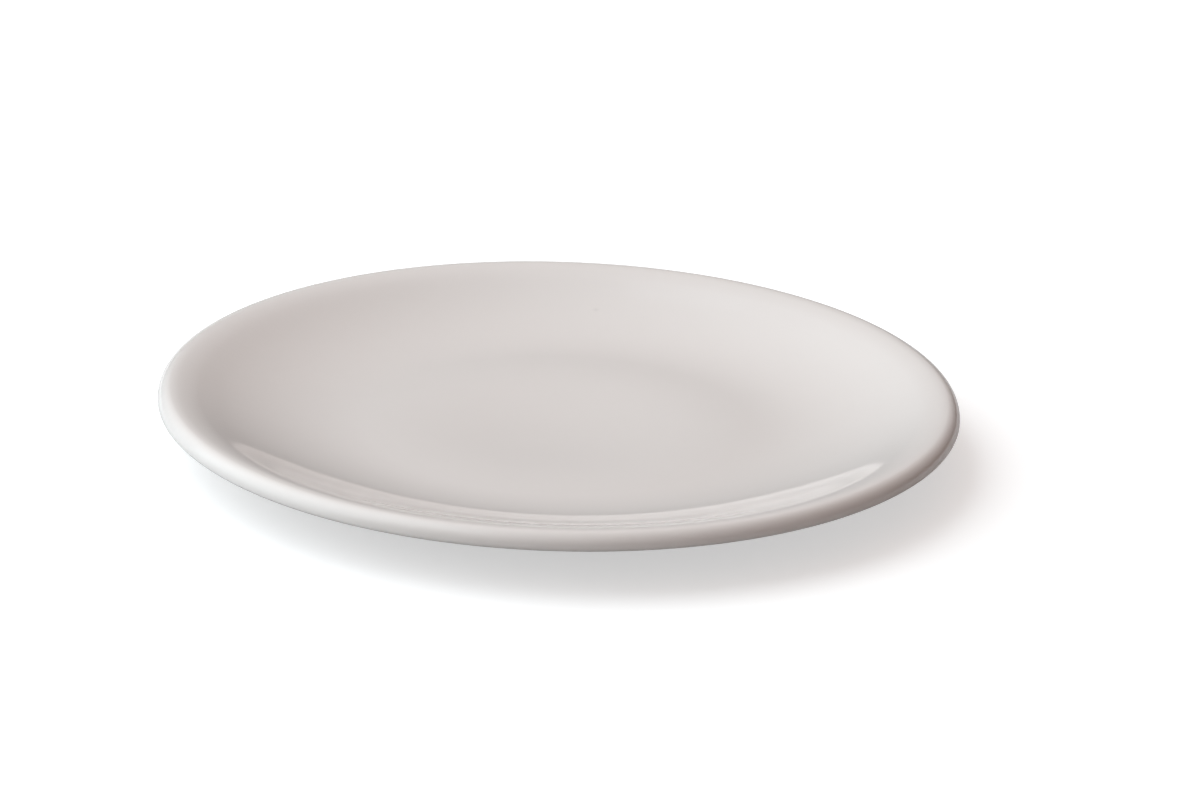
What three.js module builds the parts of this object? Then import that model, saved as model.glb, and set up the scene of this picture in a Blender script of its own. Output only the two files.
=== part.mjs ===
// Coupe plate: a rimless round plate of glazed porcelain, standing on a bare foot ring.
// Millimetres, +Z up, with the standing face on z = 0 and the plate's axis on Z.

import * as THREE from 'three';

// Overall size, measured over the glaze
const PLATE_DIAMETER = 270;
const WELL_DEPTH = 13.2;

// Dip of the well's middle, which sinks a little inside the foot ring as the plate is fired
const WELL_SAG = 1.6;

// Wall between the flat well and the crest of the rim
const WALL_SLOPE_DEGREES = 20.6;
const WALL_STRAIGHT = 6.4;
const ROLL_RADIUS = 42;
const SHOULDER_SLOPE_DEGREES = 11;
const SHOULDER_RADIUS = 14;
const BODY_THICKNESS = 5.1;

// Rounded nose of the edge, outside the crest
const NOSE_REACH = 4;
const NOSE_DROP = 4.1;

// Foot ring under the edge of the well
const FOOT_INSET = 4;
const FOOT_WIDTH = 4;
const FOOT_DEPTH = 3.8;
const FOOT_ROOT_RADIUS = 1.2;
const FOOT_EDGE_RADIUS = 0.7;

// Glaze, wiped off the lowest part of the foot before firing
const GLAZE_THICKNESS = 0.3;
const BARE_FOOT_HEIGHT = 1;

// Fineness of the round surfaces
const CHORD_ERROR = 0.1;
const SAG_STEPS = 10;
const SECTORS = 64;

const QUARTER_TURN = Math.PI / 2;
const wallSlope = THREE.MathUtils.degToRad(WALL_SLOPE_DEGREES);
const shoulderSlope = THREE.MathUtils.degToRad(SHOULDER_SLOPE_DEGREES);

// Heights of the fired body, from the standing face up
const wellHeight = FOOT_DEPTH + BODY_THICKNESS;
const crestHeight = wellHeight + WELL_DEPTH;
const noseHeight = crestHeight - NOSE_DROP;
const shoulderCentreHeight = crestHeight - SHOULDER_RADIUS;
const rollCentreHeight = shoulderCentreHeight - (ROLL_RADIUS - SHOULDER_RADIUS) * Math.cos(shoulderSlope);

// The cove takes up the rise that the shoulder, the roll and the straight wall leave
const shoulderRise = SHOULDER_RADIUS * (1 - Math.cos(shoulderSlope));
const rollRise = ROLL_RADIUS * (Math.cos(shoulderSlope) - Math.cos(wallSlope));
const straightRise = WALL_STRAIGHT * Math.sin(wallSlope);
const coveRise = WELL_DEPTH - shoulderRise - rollRise - straightRise;
const coveRadius = coveRise / (1 - Math.cos(wallSlope));
const coveCentreHeight = wellHeight + coveRadius;
const wallRun = (coveRadius + ROLL_RADIUS) * Math.sin(wallSlope) + WALL_STRAIGHT * Math.cos(wallSlope);

// Radii of the fired body, from the edge in to the foot
const edgeRadius = PLATE_DIAMETER / 2 - GLAZE_THICKNESS;
const crestRadius = edgeRadius - NOSE_REACH;
const lowerNoseRadius = BODY_THICKNESS - NOSE_DROP;
const lipRadius = edgeRadius - lowerNoseRadius;
const rollCentreRadius = crestRadius + (ROLL_RADIUS - SHOULDER_RADIUS) * Math.sin(shoulderSlope);
const wellRadius = rollCentreRadius - wallRun;
const footOuterRadius = wellRadius - FOOT_INSET;
const footInnerRadius = footOuterRadius - FOOT_WIDTH;

// Points on an elliptical arc, spaced so that no chord strays more than the allowed error
function ellipseArc(centreRadius, centreHeight, radiusAcross, radiusUp, from, to) {
  const widest = Math.max(radiusAcross, radiusUp);
  const chordAngle = 2 * Math.acos(1 - Math.min(1, CHORD_ERROR / widest));
  const steps = Math.ceil(Math.abs(to - from) / chordAngle);
  const points = [];
  for (let step = 0; step <= steps; step += 1) {
    const angle = from + (to - from) * step / steps;
    const across = centreRadius + radiusAcross * Math.cos(angle);
    const up = centreHeight + radiusUp * Math.sin(angle);
    points.push(new THREE.Vector2(across, up));
  }
  return points;
}

function arc(centreRadius, centreHeight, radius, from, to) {
  return ellipseArc(centreRadius, centreHeight, radius, radius, from, to);
}

// Points on the sunk middle of the well, from the axis out to the foot ring, where it is level
function saggedRun(height) {
  const points = [];
  for (let step = 0; step <= SAG_STEPS; step += 1) {
    const share = step / SAG_STEPS;
    const dip = WELL_SAG * (1 - share * share) ** 2;
    points.push(new THREE.Vector2(footInnerRadius * share, height - dip));
  }
  return points;
}

// Face, rim and underside, from the middle of the well out and back to the glaze line on the foot.
// The cover is the glaze that lies over the body: every arc keeps its centre and changes its radius.
function facingOutline(cover) {
  const underShoulder = SHOULDER_RADIUS - BODY_THICKNESS - cover;
  const underRoll = ROLL_RADIUS - BODY_THICKNESS - cover;
  const underCove = coveRadius + BODY_THICKNESS + cover;
  const rootRadius = footOuterRadius + FOOT_ROOT_RADIUS;
  const rootHeight = FOOT_DEPTH - FOOT_ROOT_RADIUS;
  const noseAcross = NOSE_REACH + cover;
  const noseUp = NOSE_DROP + cover;
  const wallAngle = QUARTER_TURN + wallSlope;
  const shoulderAngle = QUARTER_TURN + shoulderSlope;
  return [
    ...saggedRun(wellHeight + cover),
    ...arc(wellRadius, coveCentreHeight, coveRadius - cover, -QUARTER_TURN, wallSlope - QUARTER_TURN),
    ...arc(rollCentreRadius, rollCentreHeight, ROLL_RADIUS + cover, wallAngle, shoulderAngle),
    ...arc(crestRadius, shoulderCentreHeight, SHOULDER_RADIUS + cover, shoulderAngle, QUARTER_TURN).slice(1),
    ...ellipseArc(crestRadius, noseHeight, noseAcross, noseUp, QUARTER_TURN, 0).slice(1),
    ...arc(lipRadius, noseHeight, lowerNoseRadius + cover, 0, -QUARTER_TURN).slice(1),
    ...arc(crestRadius, shoulderCentreHeight, underShoulder, QUARTER_TURN, shoulderAngle),
    ...arc(rollCentreRadius, rollCentreHeight, underRoll, shoulderAngle, wallAngle).slice(1),
    ...arc(wellRadius, coveCentreHeight, underCove, wallSlope - QUARTER_TURN, -QUARTER_TURN),
    ...arc(rootRadius, rootHeight, FOOT_ROOT_RADIUS - cover, QUARTER_TURN, 2 * QUARTER_TURN),
    new THREE.Vector2(footOuterRadius + cover, BARE_FOOT_HEIGHT),
  ];
}

// Bare end of the foot ring, between its two glaze lines
function footOutline() {
  const outerEdge = footOuterRadius - FOOT_EDGE_RADIUS;
  const innerEdge = footInnerRadius + FOOT_EDGE_RADIUS;
  return [
    ...arc(outerEdge, FOOT_EDGE_RADIUS, FOOT_EDGE_RADIUS, 0, -QUARTER_TURN),
    ...arc(innerEdge, FOOT_EDGE_RADIUS, FOOT_EDGE_RADIUS, -QUARTER_TURN, -2 * QUARTER_TURN),
  ];
}

// Recess inside the foot ring, from its glaze line to the sunk middle
function recessOutline(cover) {
  const rootRadius = footInnerRadius - FOOT_ROOT_RADIUS;
  const rootHeight = FOOT_DEPTH - FOOT_ROOT_RADIUS;
  return [
    new THREE.Vector2(footInnerRadius - cover, BARE_FOOT_HEIGHT),
    ...arc(rootRadius, rootHeight, FOOT_ROOT_RADIUS - cover, 0, QUARTER_TURN),
    ...saggedRun(FOOT_DEPTH - cover).reverse().filter((point) => point.x < rootRadius),
  ];
}

// Turns an outline about the plate's axis; the outline runs from the top of the axis to its foot
function turned(name, outline, material) {
  const geometry = new THREE.LatheGeometry([...outline].reverse(), SECTORS);
  geometry.rotateX(QUARTER_TURN);
  const piece = new THREE.Mesh(geometry, material);
  piece.name = name;
  return piece;
}

// Pressed and fired body: well, wall, rim and foot ring in one piece
function porcelainBody() {
  const outline = [...facingOutline(0), ...footOutline(), ...recessOutline(0)];
  const biscuit = new THREE.MeshStandardMaterial({ color: 0xe6dfd4, roughness: 0.85, metalness: 0 });
  return turned('porcelain_body', outline, biscuit);
}

// Glaze over the face, the rim and the underside, down to the glaze line outside the foot
function glazeCoat() {
  const outline = [...facingOutline(GLAZE_THICKNESS), ...facingOutline(0).reverse()];
  const gloss = new THREE.MeshStandardMaterial({ color: 0xe3dcd8, roughness: 0.1, metalness: 0 });
  return turned('glaze_coat', outline, gloss);
}

// Pool of glaze inside the foot ring, cut off from the rest by the bare foot
function footRecessGlaze() {
  const outline = [...recessOutline(0).reverse(), ...recessOutline(GLAZE_THICKNESS)];
  const gloss = new THREE.MeshStandardMaterial({ color: 0xded7d2, roughness: 0.14, metalness: 0 });
  return turned('foot_recess_glaze', outline, gloss);
}

const coupePlate = new THREE.Group();
coupePlate.name = 'coupe_plate';
coupePlate.add(porcelainBody(), glazeCoat(), footRecessGlaze());

export default coupePlate;
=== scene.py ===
"""Coupe plate of glazed porcelain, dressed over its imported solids, on a pale studio floor."""

import logging
import math
from dataclasses import dataclass, fields
from enum import Enum
from functools import cached_property
from typing import Any, Iterable, Mapping, Sequence, Union

import bmesh
import bpy
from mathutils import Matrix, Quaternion, Vector


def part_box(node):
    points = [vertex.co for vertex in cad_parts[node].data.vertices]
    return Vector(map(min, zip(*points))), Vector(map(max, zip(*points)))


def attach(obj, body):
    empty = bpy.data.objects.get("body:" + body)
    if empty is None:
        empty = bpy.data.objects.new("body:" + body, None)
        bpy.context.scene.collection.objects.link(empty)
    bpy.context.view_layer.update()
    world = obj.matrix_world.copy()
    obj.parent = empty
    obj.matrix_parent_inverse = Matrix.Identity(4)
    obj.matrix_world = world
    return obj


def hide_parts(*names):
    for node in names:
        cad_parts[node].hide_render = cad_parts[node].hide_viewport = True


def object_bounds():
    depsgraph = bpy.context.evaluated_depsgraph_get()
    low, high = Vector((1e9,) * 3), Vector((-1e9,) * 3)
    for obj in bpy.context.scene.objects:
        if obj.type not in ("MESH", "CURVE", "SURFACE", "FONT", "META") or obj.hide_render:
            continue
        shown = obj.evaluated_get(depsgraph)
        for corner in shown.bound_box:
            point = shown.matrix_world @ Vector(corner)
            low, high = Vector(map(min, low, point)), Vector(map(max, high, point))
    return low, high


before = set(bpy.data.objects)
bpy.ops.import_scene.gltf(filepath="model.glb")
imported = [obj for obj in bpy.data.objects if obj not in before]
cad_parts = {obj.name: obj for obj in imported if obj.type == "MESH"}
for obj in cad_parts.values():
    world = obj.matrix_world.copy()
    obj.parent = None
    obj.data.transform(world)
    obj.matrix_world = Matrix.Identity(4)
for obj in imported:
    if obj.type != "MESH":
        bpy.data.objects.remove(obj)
CAD_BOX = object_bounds()

MM = 0.001
QUARTER_TURN = math.pi / 2
FULL_TURN = 2 * math.pi
SECTORS = 224
WELD_DISTANCE = 1e-6
SHARP_ANGLE = math.radians(40)

Number = Union[float, "Value"]
Colour = tuple[float, float, float]

LAMP_COLOUR: Colour = (0.87, 1.0, 1.06)

log = logging.getLogger("coupe_plate")


class CadNode(Enum):
    """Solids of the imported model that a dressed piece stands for."""

    BODY = "porcelain_body"
    COAT = "glaze_coat"
    RECESS = "foot_recess_glaze"


class Slot(Enum):
    """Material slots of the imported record."""

    PORCELAIN = "porcelain"
    GLAZE = "glaze"
    RECESS_GLAZE = "recess_glaze"


class Layer(Enum):
    """How many of its planned rows a surface gets: all where it shows, fewer where it is covered."""

    SEEN = 1
    COVERED = 4

    def rows(self, planned: int) -> int:
        """Rows of points for a stretch that is planned with this many where it shows."""
        return max(2, planned // self.value)


@dataclass(frozen=True)
class RowPlan:
    """Rows of points along each stretch of the section, where it shows."""

    well: int = 56
    cove: int = 64
    roll: int = 48
    shoulder: int = 16
    nose: int = 32
    lip: int = 20
    under_shoulder: int = 12
    under_roll: int = 16
    under_cove: int = 32
    foot_root: int = 12
    foot_side: int = 4
    foot_edge: int = 12
    recess: int = 40


ROWS = RowPlan()


class Value:
    """A number on a node's output, on which Python's operators add Math nodes."""

    def __init__(self, graph: "Graph", socket: bpy.types.NodeSocket) -> None:
        """Keeps the socket and the graph that its Math nodes go into."""
        self.graph = graph
        self.socket = socket

    def apply(self, operation: str, *others: Number) -> "Value":
        """The result of a Math node's operation on this value and the others."""
        return self.graph.math(operation, self, *others)

    def __add__(self, other: Number) -> "Value":
        """This value plus another."""
        return self.graph.math("ADD", self, other)

    def __radd__(self, other: Number) -> "Value":
        """Another value plus this one."""
        return self.graph.math("ADD", other, self)

    def __sub__(self, other: Number) -> "Value":
        """This value less another."""
        return self.graph.math("SUBTRACT", self, other)

    def __rsub__(self, other: Number) -> "Value":
        """Another value less this one."""
        return self.graph.math("SUBTRACT", other, self)

    def __mul__(self, other: Number) -> "Value":
        """This value times another."""
        return self.graph.math("MULTIPLY", self, other)

    def __rmul__(self, other: Number) -> "Value":
        """Another value times this one."""
        return self.graph.math("MULTIPLY", other, self)

    def __truediv__(self, other: Number) -> "Value":
        """This value over another."""
        return self.graph.math("DIVIDE", self, other)

    def __rtruediv__(self, other: Number) -> "Value":
        """Another value over this one."""
        return self.graph.math("DIVIDE", other, self)


def sine(angle: Number) -> Number:
    """Sine of an angle in radians, a plain number or a node's value."""
    return angle.apply("SINE") if isinstance(angle, Value) else math.sin(angle)


def cosine(angle: Number) -> Number:
    """Cosine of an angle in radians, a plain number or a node's value."""
    return angle.apply("COSINE") if isinstance(angle, Value) else math.cos(angle)


class Graph:
    """A node tree that is written as Python expressions."""

    def __init__(self, tree: bpy.types.NodeTree) -> None:
        """Keeps the tree that the nodes go into."""
        self.tree = tree

    def node(
        self,
        kind: str,
        settings: Mapping[str, Any] | None = None,
        sockets: Mapping[str | int, Any] | None = None,
    ) -> bpy.types.Node:
        """Adds one node.

        Args:
            kind: Blender's name for the type of node.
            settings: The node's own settings, set before its sockets.
            sockets: Values or links of its inputs, by identifier, name or place.

        Returns:
            The node.
        """
        made = self.tree.nodes.new(kind)
        for name, setting in (settings or {}).items():
            setattr(made, name, setting)
        for name, feed in (sockets or {}).items():
            self.feed(self.find(made.inputs, name), feed)
        return made

    @staticmethod
    def find(sockets: Iterable[bpy.types.NodeSocket], name: str | int) -> bpy.types.NodeSocket:
        """Picks one of a node's sockets.

        Args:
            sockets: The node's inputs or outputs.
            name: The socket's identifier, its name or its place.

        Returns:
            The socket.
        """
        listed = list(sockets)
        if isinstance(name, int):
            return listed[name]
        exact = [socket for socket in listed if socket.identifier == name]
        named = [socket for socket in listed if socket.name == name]
        return (exact or named)[0]

    def feed(self, socket: bpy.types.NodeSocket, feed: Any) -> None:
        """Links or sets an input.

        Args:
            socket: The input.
            feed: A value, an output socket, a list of them for an input that takes several, or a constant.
        """
        if isinstance(feed, list):
            # Blender puts the newest link first, so the last of the list is linked first
            for one in reversed(feed):
                self.feed(socket, one)
        elif isinstance(feed, Value):
            self.tree.links.new(feed.socket, socket)
        elif isinstance(feed, bpy.types.NodeSocket):
            self.tree.links.new(feed, socket)
        else:
            socket.default_value = feed

    def value(self, node: bpy.types.Node, name: str | int = 0) -> Value:
        """A node's output as a value."""
        return Value(self, self.find(node.outputs, name))

    def math(self, operation: str, *operands: Number) -> Value:
        """A Math node on values and numbers."""
        return self.value(self.node("ShaderNodeMath", {"operation": operation}, dict(enumerate(operands))))

    def vector(self, x: Number, y: Number, z: Number) -> bpy.types.NodeSocket:
        """A vector of three values."""
        return self.node("ShaderNodeCombineXYZ", {}, {"X": x, "Y": y, "Z": z}).outputs["Vector"]

    def split(self, vector: bpy.types.NodeSocket) -> tuple[Value, Value, Value]:
        """The three values of a vector."""
        parts = self.node("ShaderNodeSeparateXYZ", {}, {"Vector": vector})
        return self.value(parts, "X"), self.value(parts, "Y"), self.value(parts, "Z")

    def mixed(self, share: Value, below: Any, above: Any) -> bpy.types.NodeSocket:
        """One colour laid over another by a share from 0 to 1."""
        made = self.node(
            "ShaderNodeMix",
            {"data_type": "RGBA"},
            {"Factor_Float": share, "A_Color": below, "B_Color": above},
        )
        return self.find(made.outputs, "Result_Color")


def swell(along: Value, middle: Number, width: Number, height: Number) -> Value:
    """Makes a smooth rise, at its full height in its middle.

    Args:
        along: Measure that the rise runs along, such as the distance from the plate's axis.
        middle: Where on that measure its middle is.
        width: Distance from the middle over which it dies away.
        height: Its full height.

    Returns:
        The rise at each place.
    """
    away = (along - middle) / width
    return along.graph.math("POWER", math.e, away * away * -1.0) * height


@dataclass
class PlateSection:
    """Section of the plate: sizes in metres and radians, as numbers or as the inputs of a node tree."""

    edge_radius: Number
    glaze: Number
    foot_depth: Number
    foot_inner_radius: Number
    bare_height: Number
    well_depth: Number = 13.2 * MM
    wall_slope: Number = math.radians(20.6)
    wall_straight: Number = 6.4 * MM
    roll_radius: Number = 42 * MM
    shoulder_slope: Number = math.radians(11)
    shoulder_radius: Number = 14 * MM
    thickness: Number = 5.1 * MM
    nose_reach: Number = 4 * MM
    nose_drop: Number = 4.1 * MM
    foot_width: Number = 4 * MM
    foot_root: Number = 1.2 * MM
    foot_edge: Number = 0.7 * MM
    well_sag: Number = 1.6 * MM
    apron_rise: Number = 0.15 * MM
    apron_reach: Number = 8 * MM

    @classmethod
    def from_frame(cls) -> "PlateSection":
        """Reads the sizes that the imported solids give.

        Returns:
            The section, with these sizes and its own.
        """
        coat_low, coat_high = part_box(CadNode.COAT.value)
        recess_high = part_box(CadNode.RECESS.value)[1]
        body_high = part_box(CadNode.BODY.value)[1]
        glaze = coat_high.z - body_high.z
        return cls(
            edge_radius=coat_high.x - glaze,
            glaze=glaze,
            foot_depth=recess_high.z,
            foot_inner_radius=recess_high.x,
            bare_height=coat_low.z,
        )

    @cached_property
    def well_height(self) -> Number:
        """Height of the well's clay above the standing face."""
        return self.foot_depth + self.thickness

    @cached_property
    def crest_height(self) -> Number:
        """Height of the rim's clay at its crest."""
        return self.well_height + self.well_depth

    @cached_property
    def nose_height(self) -> Number:
        """Height of the edge's widest circle."""
        return self.crest_height - self.nose_drop

    @cached_property
    def shoulder_centre(self) -> tuple[Number, Number]:
        """Centre of the tight round just inside the crest."""
        return self.crest_radius, self.crest_height - self.shoulder_radius

    @cached_property
    def roll_centre(self) -> tuple[Number, Number]:
        """Works out the centre of the wide round between the shoulder and the wall.

        Returns:
            Its distance from the axis and its height.
        """
        across, up = self.shoulder_centre
        spare = self.roll_radius - self.shoulder_radius
        return across + spare * sine(self.shoulder_slope), up - spare * cosine(self.shoulder_slope)

    @cached_property
    def cove_radius(self) -> Number:
        """Works out the cove from the rise that the rounds and the straight wall leave.

        Returns:
            Its radius.
        """
        shoulder_rise = self.shoulder_radius * (1 - cosine(self.shoulder_slope))
        roll_rise = self.roll_radius * (cosine(self.shoulder_slope) - cosine(self.wall_slope))
        straight_rise = self.wall_straight * sine(self.wall_slope)
        cove_rise = self.well_depth - shoulder_rise - roll_rise - straight_rise
        return cove_rise / (1 - cosine(self.wall_slope))

    @cached_property
    def cove_centre(self) -> tuple[Number, Number]:
        """Centre of the cove between well and wall."""
        return self.well_radius, self.well_height + self.cove_radius

    @cached_property
    def crest_radius(self) -> Number:
        """Radius of the circle along the top of the rim."""
        return self.edge_radius - self.nose_reach

    @cached_property
    def well_radius(self) -> Number:
        """Works out where the well ends and the cove begins.

        Returns:
            The radius of that circle.
        """
        roll_across, _ = self.roll_centre
        curved_run = (self.roll_radius + self.cove_radius) * sine(self.wall_slope)
        return roll_across - curved_run - self.wall_straight * cosine(self.wall_slope)

    @cached_property
    def lip_radius(self) -> Number:
        """Radius of the round under the edge."""
        return self.thickness - self.nose_drop

    @cached_property
    def foot_outer_radius(self) -> Number:
        """Radius of the foot ring's outer side."""
        return self.foot_inner_radius + self.foot_width


class SectionGraph(Graph):
    """Geometry nodes that draw a section from arcs and lines and turn it about the plate's axis."""

    def __init__(self, name: str, section: PlateSection) -> None:
        """Starts a tree with one named input for each size of the section.

        Args:
            name: The tree's name.
            section: The sizes, as numbers.
        """
        super().__init__(bpy.data.node_groups.new(name, "GeometryNodeTree"))
        self.inputs: dict[str, Number] = {}
        interface = self.tree.interface
        interface.new_socket(name="Geometry", in_out="OUTPUT", socket_type="NodeSocketGeometry")
        for size in fields(section):
            title = size.name.replace("_", " ").capitalize()
            socket = interface.new_socket(name=title, in_out="INPUT", socket_type="NodeSocketFloat")
            self.inputs[socket.identifier] = getattr(section, size.name)
        finish = interface.new_socket(name="Finish", in_out="INPUT", socket_type="NodeSocketMaterial")
        self.finish_input = finish.identifier
        self.start = self.node("NodeGroupInput")
        ports = self.start.outputs
        self.section = PlateSection(*(Value(self, ports[place]) for place in range(len(fields(section)))))

    def ellipse_arc(
        self,
        centre: tuple[Number, Number],
        radii: tuple[Number, Number],
        start: Number,
        sweep: Number,
        rows: int,
    ) -> bpy.types.NodeSocket:
        """Draws part of an ellipse.

        Args:
            centre: Its distance from the axis and its height.
            radii: Its radius across and its radius up.
            start: Angle where it starts, in radians.
            sweep: Angle that it turns through, in radians.
            rows: Number of points on it.

        Returns:
            The curve.
        """
        curve = self.node(
            "GeometryNodeCurveArc",
            {"mode": "RADIUS"},
            {"Resolution": rows, "Radius": 1.0, "Start Angle": start, "Sweep Angle": sweep},
        )
        placed = self.node(
            "GeometryNodeTransform",
            {},
            {
                "Geometry": curve.outputs["Curve"],
                "Translation": self.vector(*centre, 0.0),
                "Scale": self.vector(*radii, 1.0),
            },
        )
        return placed.outputs["Geometry"]

    def arc(
        self, centre: tuple[Number, Number], radius: Number, start: Number, sweep: Number, rows: int
    ) -> bpy.types.NodeSocket:
        """Part of a circle, given as an ellipse's part is."""
        return self.ellipse_arc(centre, (radius, radius), start, sweep, rows)

    def line(
        self, start: tuple[Number, Number], end: tuple[Number, Number], rows: int
    ) -> bpy.types.NodeSocket:
        """Draws a straight run of points.

        Args:
            start: Distance from the axis and height where it starts.
            end: The same where it ends.
            rows: Number of points on it.

        Returns:
            The curve.
        """
        curve = self.node(
            "GeometryNodeCurvePrimitiveLine",
            {},
            {"Start": self.vector(*start, 0.0), "End": self.vector(*end, 0.0)},
        )
        spaced = self.node(
            "GeometryNodeResampleCurve", {}, {"Curve": curve.outputs["Curve"], "Count": rows}
        )
        return spaced.outputs["Curve"]

    def backwards(self, runs: Sequence[bpy.types.NodeSocket]) -> list[bpy.types.NodeSocket]:
        """The same runs of points from the last to the first."""
        turned = [self.node("GeometryNodeReverseCurve", {}, {"Curve": run}) for run in reversed(runs)]
        return [node.outputs["Curve"] for node in turned]

    def joined(self, runs: Sequence[bpy.types.NodeSocket]) -> bpy.types.NodeSocket:
        """All runs in one geometry, with their points in order."""
        return self.node("GeometryNodeJoinGeometry", {}, {"Geometry": list(runs)}).outputs["Geometry"]

    def sagged(self, run: bpy.types.NodeSocket) -> bpy.types.NodeSocket:
        """Sinks a run by the dip that firing leaves in the middle of the well, inside the foot ring.

        Args:
            run: Points of the well or of the recess under it.

        Returns:
            The sunk points.
        """
        cut = self.section
        radius, _, _ = self.split(self.node("GeometryNodeInputPosition").outputs["Position"])
        share = (radius / cut.foot_inner_radius).apply("MINIMUM", 1.0)
        bowl = 1 - share * share
        dip = self.vector(0.0, bowl * bowl * cut.well_sag * -1.0, 0.0)
        moved = self.node("GeometryNodeSetPosition", {}, {"Geometry": run, "Offset": dip})
        return moved.outputs["Geometry"]

    def eased(self, run: bpy.types.NodeSocket) -> bpy.types.NodeSocket:
        """Gives a run the soft rise that leads from the well into the cove.

        Args:
            run: Points of the face.

        Returns:
            The moved points.
        """
        cut = self.section
        radius, _, _ = self.split(self.node("GeometryNodeInputPosition").outputs["Position"])
        rise = self.node(
            "ShaderNodeMapRange",
            {"interpolation_type": "SMOOTHSTEP"},
            {
                "Value": radius,
                "From Min": cut.foot_inner_radius - cut.apron_reach,
                "From Max": cut.well_radius + cut.apron_reach,
                "To Min": cut.apron_rise * -1.0,
                "To Max": 0.0,
            },
        )
        lift = self.vector(0.0, self.value(rise, "Result"), 0.0)
        moved = self.node("GeometryNodeSetPosition", {}, {"Geometry": run, "Offset": lift})
        return moved.outputs["Geometry"]

    def facing(self, cover: Number, layer: Layer) -> list[bpy.types.NodeSocket]:
        """Draws face, edge and underside, from the middle of the well round to the glaze line on the foot.

        Args:
            cover: Thickness of the glaze over the clay.
            layer: Whether the surface shows.

        Returns:
            The runs of points, in order.
        """
        cut = self.section
        slope = cut.wall_slope
        shoulder_slope = cut.shoulder_slope
        level = cut.well_height + cover
        side = cut.foot_outer_radius + cover
        root_height = cut.foot_depth - cut.foot_root
        root_centre = (cut.foot_outer_radius + cut.foot_root, root_height)
        nose_centre = (cut.crest_radius, cut.nose_height)
        nose_radii = (cut.nose_reach + cover, cut.nose_drop + cover)
        lip_centre = (cut.edge_radius - cut.lip_radius, cut.nose_height)
        well = self.line((0.0, level), (cut.well_radius, level), layer.rows(ROWS.well))
        cove = self.arc(
            cut.cove_centre, cut.cove_radius - cover, -QUARTER_TURN, slope, layer.rows(ROWS.cove)
        )
        return [
            self.eased(self.sagged(well)),
            self.eased(cove),
            self.arc(
                cut.roll_centre,
                cut.roll_radius + cover,
                slope + QUARTER_TURN,
                shoulder_slope - slope,
                layer.rows(ROWS.roll),
            ),
            self.arc(
                cut.shoulder_centre,
                cut.shoulder_radius + cover,
                shoulder_slope + QUARTER_TURN,
                shoulder_slope * -1.0,
                layer.rows(ROWS.shoulder),
            ),
            self.ellipse_arc(nose_centre, nose_radii, QUARTER_TURN, -QUARTER_TURN, layer.rows(ROWS.nose)),
            self.arc(lip_centre, cut.lip_radius + cover, 0.0, -QUARTER_TURN, layer.rows(ROWS.lip)),
            self.arc(
                cut.shoulder_centre,
                cut.shoulder_radius - cut.thickness - cover,
                QUARTER_TURN,
                shoulder_slope,
                layer.rows(ROWS.under_shoulder),
            ),
            self.arc(
                cut.roll_centre,
                cut.roll_radius - cut.thickness - cover,
                shoulder_slope + QUARTER_TURN,
                slope - shoulder_slope,
                layer.rows(ROWS.under_roll),
            ),
            self.arc(
                cut.cove_centre,
                cut.cove_radius + cut.thickness + cover,
                slope - QUARTER_TURN,
                slope * -1.0,
                layer.rows(ROWS.under_cove),
            ),
            self.arc(
                root_centre, cut.foot_root - cover, QUARTER_TURN, QUARTER_TURN, layer.rows(ROWS.foot_root)
            ),
            self.line((side, root_height), (side, cut.bare_height), layer.rows(ROWS.foot_side)),
        ]

    def foot(self) -> list[bpy.types.NodeSocket]:
        """Draws the bare end of the foot ring, between its two glaze lines.

        Returns:
            The runs of points, in order.
        """
        cut = self.section
        edge = cut.foot_edge
        rows = Layer.SEEN.rows(ROWS.foot_edge)
        outer_centre = (cut.foot_outer_radius - edge, edge)
        inner_centre = (cut.foot_inner_radius + edge, edge)
        return [
            self.arc(outer_centre, edge, 0.0, -QUARTER_TURN, rows),
            self.arc(inner_centre, edge, -QUARTER_TURN, -QUARTER_TURN, rows),
        ]

    def recess(self, cover: Number, layer: Layer) -> list[bpy.types.NodeSocket]:
        """Draws the hollow inside the foot ring, from its glaze line to the middle.

        Args:
            cover: Thickness of the glaze over the clay.
            layer: Whether the surface shows.

        Returns:
            The runs of points, in order.
        """
        cut = self.section
        side = cut.foot_inner_radius - cover
        ceiling = cut.foot_depth - cover
        root_radius = cut.foot_inner_radius - cut.foot_root
        root_height = cut.foot_depth - cut.foot_root
        root_centre = (root_radius, root_height)
        level = self.line((root_radius, ceiling), (0.0, ceiling), layer.rows(ROWS.recess))
        return [
            self.line((side, cut.bare_height), (side, root_height), layer.rows(ROWS.foot_side)),
            self.arc(root_centre, cut.foot_root - cover, 0.0, QUARTER_TURN, layer.rows(ROWS.foot_root)),
            self.sagged(level),
        ]

    def turn(self, runs: Sequence[bpy.types.NodeSocket]) -> None:
        """Turns an outline about the axis, welds it, gives it its finish and ends the tree.

        Args:
            runs: The outline's runs of points, from the top of the axis to its foot.
        """
        outline = self.node("GeometryNodeCurveToMesh", {}, {"Curve": self.joined(runs)}).outputs["Mesh"]
        size = self.node("GeometryNodeAttributeDomainSize", {}, {"Geometry": outline})
        columns = SECTORS + 1
        grid = self.node(
            "GeometryNodeMeshGrid", {}, {"Vertices X": size.outputs["Point Count"], "Vertices Y": columns}
        )
        index = self.value(self.node("GeometryNodeInputIndex"))
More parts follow.
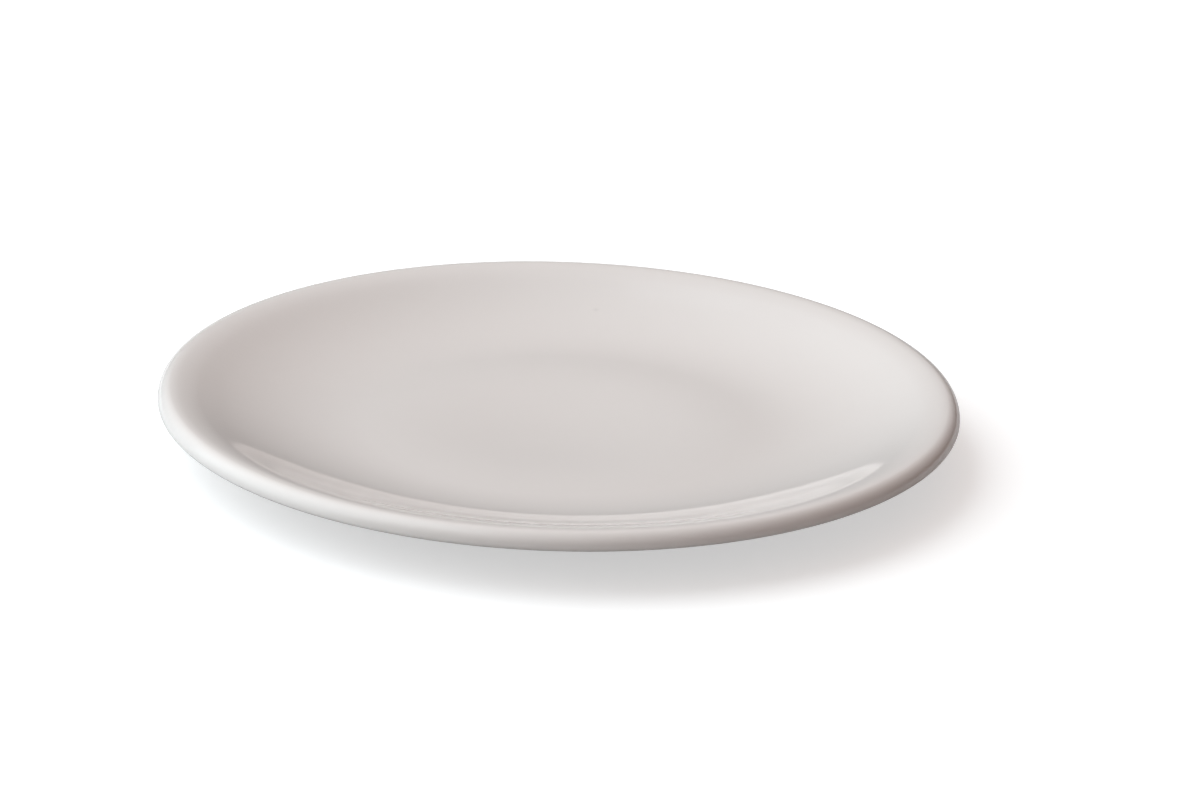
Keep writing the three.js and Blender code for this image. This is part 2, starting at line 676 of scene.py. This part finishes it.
        # Half a step keeps a rounding error from moving a point to the row before
        row = ((index + 0.5) / columns).apply("FLOOR")
        angle = (index - row * columns) * (FULL_TURN / SECTORS)
        place = self.node("GeometryNodeInputPosition").outputs["Position"]
        sampled = self.node(
            "GeometryNodeSampleIndex",
            {"data_type": "FLOAT_VECTOR"},
            {"Geometry": outline, "Value": place, "Index": row},
        )
        radius, height, _ = self.split(sampled.outputs["Value"])
        turned = self.node(
            "GeometryNodeSetPosition",
            {},
            {
                "Geometry": grid.outputs["Mesh"],
                "Position": self.vector(radius * cosine(angle), radius * sine(angle), height),
            },
        )
        welded = self.node(
            "GeometryNodeMergeByDistance",
            {},
            {"Geometry": turned.outputs["Geometry"], "Distance": WELD_DISTANCE},
        )
        edge_angle = self.value(self.node("GeometryNodeInputMeshEdgeAngle"), "Unsigned Angle")
        creased = self.node(
            "GeometryNodeSetShadeSmooth",
            {"domain": "EDGE"},
            {
                "Geometry": welded.outputs["Geometry"],
                "Selection": edge_angle.apply("GREATER_THAN", SHARP_ANGLE),
                "Shade Smooth": False,
            },
        )
        plain = self.node("GeometryNodeRealizeInstances", {}, {"Geometry": creased.outputs["Geometry"]})
        dressed = self.node(
            "GeometryNodeSetMaterial",
            {},
            {"Geometry": plain.outputs["Geometry"], "Material": self.start.outputs["Finish"]},
        )
        self.node("NodeGroupOutput", {}, {"Geometry": dressed.outputs["Geometry"]})

    def made(self, name: str, finish: bpy.types.Material) -> bpy.types.Object:
        """Runs the tree and keeps its result as a plain mesh.

        Args:
            name: The piece's name.
            finish: Its material.

        Returns:
            The piece, with its place in its mesh.
        """
        mould = bpy.data.objects.new(name + "_mould", bpy.data.meshes.new(name + "_mould"))
        bpy.context.scene.collection.objects.link(mould)
        wheel = mould.modifiers.new("Wheel", "NODES")
        wheel.node_group = self.tree
        for identifier, size in self.inputs.items():
            wheel[identifier] = size
        wheel[self.finish_input] = finish
        evaluated = mould.evaluated_get(bpy.context.evaluated_depsgraph_get())
        mesh = bpy.data.meshes.new_from_object(evaluated)
        mesh.name = name
        bpy.data.objects.remove(mould)
        piece = bpy.data.objects.new(name, mesh)
        bpy.context.scene.collection.objects.link(piece)
        return piece


@dataclass(frozen=True)
class Grain:
    """A smooth random pattern: its waves to the metre, the finer waves on them, and how strongly it shows."""

    waves: float
    detail: float
    strength: float


class ShaderGraph(Graph):
    """A material's nodes."""

    def __init__(self, name: str) -> None:
        """Starts an empty material.

        Args:
            name: The material's name.
        """
        self.material = bpy.data.materials.new(name)
        self.material.use_nodes = True
        super().__init__(self.material.node_tree)
        self.tree.nodes.clear()

    @cached_property
    def place(self) -> bpy.types.NodeSocket:
        """Place on the object, in metres."""
        return self.node("ShaderNodeTexCoord").outputs["Object"]

    @cached_property
    def radius(self) -> Value:
        """Distance from the plate's axis."""
        x, y, _ = self.split(self.place)
        return (x * x + y * y).apply("SQRT")

    def noise(self, grain: Grain) -> Value:
        """A pattern that varies about zero, by up to half its strength either way."""
        made = self.node(
            "ShaderNodeTexNoise", {}, {"Vector": self.place, "Scale": grain.waves, "Detail": grain.detail}
        )
        return (self.value(made, "Fac") - 0.5) * grain.strength

    def shaded(self, colour: Colour, tone: Value) -> bpy.types.NodeSocket:
        """A colour made lighter or darker by a tone about 1."""
        made = self.node(
            "ShaderNodeVectorMath", {"operation": "SCALE"}, {"Vector": colour, "Scale": tone}
        )
        return made.outputs["Vector"]

    def bump(self, height: Value) -> bpy.types.NodeSocket:
        """A normal that follows a height in metres."""
        made = self.node("ShaderNodeBump", {}, {"Strength": 1.0, "Distance": 1.0, "Height": height})
        return made.outputs["Normal"]

    def surface(self, sockets: Mapping[str, Any]) -> bpy.types.Material:
        """Ends the material in a principled shader.

        Args:
            sockets: Values or links of the shader's inputs, by name.

        Returns:
            The material.
        """
        shader = self.node("ShaderNodeBsdfPrincipled", {}, sockets)
        self.node("ShaderNodeOutputMaterial", {}, {"Surface": shader.outputs["BSDF"]})
        return self.material


def opaque(colour: Colour) -> tuple[float, float, float, float]:
    """A colour with full cover."""
    return (*colour, 1.0)


@dataclass(frozen=True)
class GlazeFinish:
    """Glossy clear glaze over off-white porcelain: near even, with faint drifts, pooling and a dark speck."""

    name: str
    colour: Colour = (0.72, 0.683, 0.66)
    roughness: float = 0.055
    index: float = 1.45
    pooling: float = 0.01
    pool_width: float = 16 * MM
    thinning: float = 0.005
    thin_width: float = 5 * MM
    speck_across: float = 12.05 * MM
    speck_back: float = 103.0 * MM
    speck_width: float = 0.9 * MM
    speck_depth: float = 0.07
    drift: Grain = Grain(9.0, 2.0, 0.02)
    mottle: Grain = Grain(85.0, 2.0, 0.01)
    polish: Grain = Grain(40.0, 4.0, 0.02)
    peel: Grain = Grain(420.0, 1.0, 0.001 * MM)
    wave: Grain = Grain(38.0, 0.0, 0.006 * MM)

    def material(self, section: PlateSection) -> bpy.types.Material:
        """Makes the glaze for this plate.

        Args:
            section: Sizes that say where the glaze pools and thins.

        Returns:
            The material.
        """
        graph = ShaderGraph(self.name)
        pool = swell(graph.radius, section.well_radius, self.pool_width, self.pooling)
        thin = swell(graph.radius, section.crest_radius, self.thin_width, self.thinning)
        x, y, _ = graph.split(graph.place)
        across, back = x - self.speck_across, y - self.speck_back
        away = (across * across + back * back).apply("SQRT")
        speck = swell(away, 0.0, self.speck_width, self.speck_depth)
        tone = 1 + graph.noise(self.drift) + graph.noise(self.mottle) - pool + thin - speck
        return graph.surface(
            {
                "Base Color": graph.shaded(self.colour, tone),
                "Roughness": graph.noise(self.polish) + self.roughness,
                "IOR": self.index,
                "Normal": graph.bump(graph.noise(self.peel) + graph.noise(self.wave)),
            }
        )


@dataclass(frozen=True)
class BareClayFinish:
    """Unglazed fired porcelain: matt, faintly warm, with the grain that wiping and the kiln leave."""

    name: str
    colour: Colour = (0.66, 0.61, 0.55)
    flash_colour: Colour = (0.58, 0.47, 0.37)
    flash_width: float = 0.25 * MM
    flash_share: float = 0.45
    roughness: float = 0.72
    blush: Grain = Grain(60.0, 3.0, 0.08)
    fleck: Grain = Grain(900.0, 2.0, 0.1)
    rub: Grain = Grain(300.0, 2.0, 0.15)
    grit: Grain = Grain(1800.0, 3.0, 0.05 * MM)

    def material(self, section: PlateSection) -> bpy.types.Material:
        """Makes the bare clay for this plate.

        Args:
            section: Sizes that say where the bare foot ends.

        Returns:
            The material.
        """
        graph = ShaderGraph(self.name)
        _, _, height = graph.split(graph.place)
        flash = swell(height, section.bare_height, self.flash_width, self.flash_share)
        tone = 1 + graph.noise(self.blush) + graph.noise(self.fleck)
        return graph.surface(
            {
                "Base Color": graph.mixed(flash, graph.shaded(self.colour, tone), opaque(self.flash_colour)),
                "Roughness": graph.noise(self.rub) + self.roughness,
                "Normal": graph.bump(graph.noise(self.grit)),
            }
        )


@dataclass
class TurnedPiece:
    """One piece of the plate that is turned about the plate's axis."""

    section: PlateSection
    name: str
    node: CadNode
    slot: Slot
    finish: GlazeFinish | BareClayFinish

    def outline(self, graph: SectionGraph) -> list[bpy.types.NodeSocket]:
        """The piece's outline, from the top of the axis to its foot."""
        raise NotImplementedError

    def build(self) -> bpy.types.Object:
        """Turns the piece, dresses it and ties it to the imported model.

        Returns:
            The finished piece.
        """
        graph = SectionGraph(self.name, self.section)
        graph.turn(self.outline(graph))
        piece = graph.made(self.name, self.finish.material(self.section))
        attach(piece, "root")
        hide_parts(self.node.value)
        return piece


class FaceGlaze(TurnedPiece):
    """Glaze over face, edge and underside."""

    def outline(self, graph: SectionGraph) -> list[bpy.types.NodeSocket]:
        """Draws the glaze's surface out to the foot, and the clay's surface back.

        Args:
            graph: The tree that the outline is drawn in.

        Returns:
            The runs of points, in order.
        """
        seen = graph.facing(graph.section.glaze, Layer.SEEN)
        covered = graph.facing(0.0, Layer.COVERED)
        return [*seen, *graph.backwards(covered)]


class RecessGlaze(TurnedPiece):
    """Glaze inside the foot ring."""

    def outline(self, graph: SectionGraph) -> list[bpy.types.NodeSocket]:
        """Draws the clay's surface out to the foot, and the glaze's surface back.

        Args:
            graph: The tree that the outline is drawn in.

        Returns:
            The runs of points, in order.
        """
        covered = graph.recess(0.0, Layer.COVERED)
        seen = graph.recess(graph.section.glaze, Layer.SEEN)
        return [*graph.backwards(covered), *seen]


class PorcelainBody(TurnedPiece):
    """Clay of the plate, of which only the bare foot shows."""

    def outline(self, graph: SectionGraph) -> list[bpy.types.NodeSocket]:
        """Draws the clay's surface all the way round.

        Args:
            graph: The tree that the outline is drawn in.

        Returns:
            The runs of points, in order.
        """
        covered = graph.facing(0.0, Layer.COVERED)
        hollow = graph.recess(0.0, Layer.COVERED)
        return [*covered, *graph.foot(), *hollow]


@dataclass(frozen=True)
class SoftBox:
    """An oblong soft light, dimmed in reflections so that the pale glaze doesn't clip.

    Angles are in degrees, lengths in metres and the power in watts.
    """

    name: str
    azimuth: float
    elevation: float
    distance: float
    width: float
    height: float
    power: float
    colour: Colour
    glint: float = 0.45
    gap: float = 0.02

    def build(self, aim: Vector) -> None:
        """Hangs the light as two lamps, close behind one another, of which only the front one is mirrored.

        Args:
            aim: The point that they face.
        """
        self.hang(self.name, aim, self.distance, self.power * self.glint)
        behind = self.distance + self.gap
        unmirrored = self.hang(self.name + "_unmirrored", aim, behind, self.power * (1.0 - self.glint))
        unmirrored.visible_glossy = False

    def hang(self, name: str, aim: Vector, distance: float, power: float) -> bpy.types.Object:
        """Hangs one lamp and turns it to a point.

        Args:
            name: The lamp's name.
            aim: The point that it faces.
            distance: How far from that point it hangs.
            power: Its power in watts.

        Returns:
            The lamp.
        """
        lamp = bpy.data.lights.new(name, "AREA")
        lamp.shape = "RECTANGLE"
        lamp.size = self.width
        lamp.size_y = self.height
        lamp.energy = power
        lamp.color = self.colour
        light = bpy.data.objects.new(name, lamp)
        bpy.context.scene.collection.objects.link(light)
        around = math.radians(self.azimuth)
        above = math.radians(self.elevation)
        out = Vector(
            (math.sin(around) * math.cos(above), -math.cos(around) * math.cos(above), math.sin(above))
        )
        light.location = aim + out * distance
        light.rotation_mode = "QUATERNION"
        light.rotation_quaternion = (-out).to_track_quat("-Z", "Y")
        light.visible_camera = False
        return light


@dataclass(frozen=True)
class PhotoView:
    """Camera at the photograph's viewing angle, on the plate's own axis plane and a little rolled."""

    distance: float = 1.62
    elevation: float = math.radians(20.1)
    aim_right: float = 13.7 * MM
    aim_up: float = -4.5 * MM
    roll: float = math.radians(1.96)
    lens: float = 144.2
    sensor: float = 36.0

    def build(self, rim_height: float) -> None:
        """Makes the camera and sets it as the scene's.

        Args:
            rim_height: Height of the top of the rim, about whose middle the view is measured.
        """
        data = bpy.data.cameras.new("photo_view")
        data.sensor_fit = "HORIZONTAL"
        data.sensor_width = self.sensor
        data.lens = self.lens
        camera = bpy.data.objects.new("photo_view", data)
        bpy.context.scene.collection.objects.link(camera)
        back = Vector((0.0, -math.cos(self.elevation), math.sin(self.elevation)))
        camera.location = back * self.distance + Vector((0.0, 0.0, rim_height))
        aim = Vector((self.aim_right, 0.0, self.aim_up + rim_height))
        level = (aim - camera.location).to_track_quat("-Z", "Y")
        camera.rotation_mode = "QUATERNION"
        camera.rotation_quaternion = level @ Quaternion((0.0, 0.0, 1.0), self.roll)
        bpy.context.scene.camera = camera


@dataclass
class Studio:
    """Pale floor, soft light and camera."""

    floor_radius: float = 4.0
    floor_sides: int = 96
    floor_bounce: float = 0.5
    floor_glow: float = 0.55
    floor_white: float = 0.6
    mirror_white: float = 0.65
    room_low: float = 0.047
    room_high: float = 0.458
    room_low_end: float = 0.05
    room_high_end: float = 0.75
    room_left: Colour = (1.02, 1.0, 0.97)
    room_right: Colour = (1.47, 1.0, 0.87)
    room_fall: float = 0.75
    key: SoftBox = SoftBox(
        name="key_softbox",
        azimuth=-90.0,
        elevation=40.0,
        distance=2.2,
        width=2.6,
        height=3.3,
        power=53.9,
        colour=LAMP_COLOUR,
    )
    spill: SoftBox = SoftBox(
        name="key_spill",
        azimuth=-96.0,
        elevation=40.0,
        distance=2.3,
        width=4.1,
        height=4.1,
        power=32.0,
        colour=LAMP_COLOUR,
    )

    def build(self, rim_height: float) -> None:
        """Lays the floor, lights the room and sets the camera.

        Args:
            rim_height: Height of the top of the plate's rim.
        """
        PhotoView().build(rim_height)
        self.lay_floor()
        self.light_room()
        for light in (self.key, self.spill):
            light.build(Vector((0.0, 0.0, rim_height)))
        bpy.context.scene.view_settings.view_transform = "Standard"

    def lay_floor(self) -> None:
        """Lays a round floor under the plate."""
        shape = bmesh.new()
        bmesh.ops.create_circle(shape, cap_ends=True, segments=self.floor_sides, radius=self.floor_radius)
        mesh = bpy.data.meshes.new("studio_floor")
        shape.to_mesh(mesh)
        shape.free()
        floor = bpy.data.objects.new("studio_floor", mesh)
        floor.location.z = CAD_BOX[0].z
        bpy.context.scene.collection.objects.link(floor)
        mesh.materials.append(self.floor_finish())

    def floor_finish(self) -> bpy.types.Material:
        """Makes a floor that is white to the eye and in reflections, where its shadow is deeper.

        Returns:
            The material.
        """
        graph = ShaderGraph("studio_floor")
        path = graph.node("ShaderNodeLightPath")
        mirrored = graph.value(path, "Is Glossy Ray")
        looked_at = (
            graph.value(path, "Is Camera Ray") + mirrored + graph.value(path, "Is Transmission Ray")
        ).apply("MINIMUM", 1.0)
        bounce = graph.node("ShaderNodeBsdfDiffuse", {}, {"Color": opaque((self.floor_bounce,) * 3)})
        glow = graph.node("ShaderNodeEmission", {}, {"Strength": (1 - mirrored) * self.floor_glow})
        paint = graph.mixed(mirrored, opaque((self.floor_white,) * 3), opaque((self.mirror_white,) * 3))
        white = graph.node("ShaderNodeBsdfDiffuse", {}, {"Color": paint})
        bright = graph.node(
            "ShaderNodeAddShader", {}, {0: glow.outputs["Emission"], 1: white.outputs["BSDF"]}
        )
        seen = graph.node(
            "ShaderNodeMixShader",
            {},
            {0: looked_at, 1: bounce.outputs["BSDF"], 2: bright.outputs["Shader"]},
        )
        graph.node("ShaderNodeOutputMaterial", {}, {"Surface": seen.outputs["Shader"]})
        return graph.material

    def light_room(self) -> None:
        """Gives the room a dim light that grows from the horizon up, and falls and warms to the right."""
        world = bpy.data.worlds.new("studio_room")
        world.use_nodes = True
        graph = Graph(world.node_tree)
        graph.tree.nodes.clear()
        right, _, up = graph.split(graph.node("ShaderNodeTexCoord").outputs["Generated"])
        rise = graph.node(
            "ShaderNodeMapRange",
            {"interpolation_type": "SMOOTHSTEP"},
            {
                "Value": up,
                "From Min": self.room_low_end,
                "From Max": self.room_high_end,
                "To Min": self.room_low,
                "To Max": self.room_high,
            },
        )
        from_left = right * 0.5 + 0.5
        light = graph.mixed(from_left, opaque(self.room_left), opaque(self.room_right))
        strength = graph.value(rise, "Result") * (1 - right * self.room_fall)
        sky = graph.node("ShaderNodeBackground", {}, {"Color": light, "Strength": strength})
        graph.node("ShaderNodeOutputWorld", {}, {"Surface": sky.outputs["Background"]})
        bpy.context.scene.world = world


def main() -> None:
    """Builds the plate piece by piece and sets the studio round it."""
    logging.basicConfig(level=logging.INFO, format="%(name)s: %(message)s")
    section = PlateSection.from_frame()
    face_glaze = GlazeFinish("face_glaze")
    recess_glaze = GlazeFinish("recess_glaze", pooling=0.04, wave=Grain(38.0, 0.0, 0.03 * MM))
    bare_clay = BareClayFinish("bare_clay")
    pieces = [
        FaceGlaze(section, "glazed_face", CadNode.COAT, Slot.GLAZE, face_glaze),
        RecessGlaze(section, "glazed_recess", CadNode.RECESS, Slot.RECESS_GLAZE, recess_glaze),
        PorcelainBody(section, "bare_foot_body", CadNode.BODY, Slot.PORCELAIN, bare_clay),
    ]
    for piece in pieces:
        made = piece.build()
        log.info("%s: %d faces, finish %s", made.name, len(made.data.polygons), piece.finish.name)
    Studio().build(section.crest_height + section.glaze)


if __name__ == "__main__":
    main()
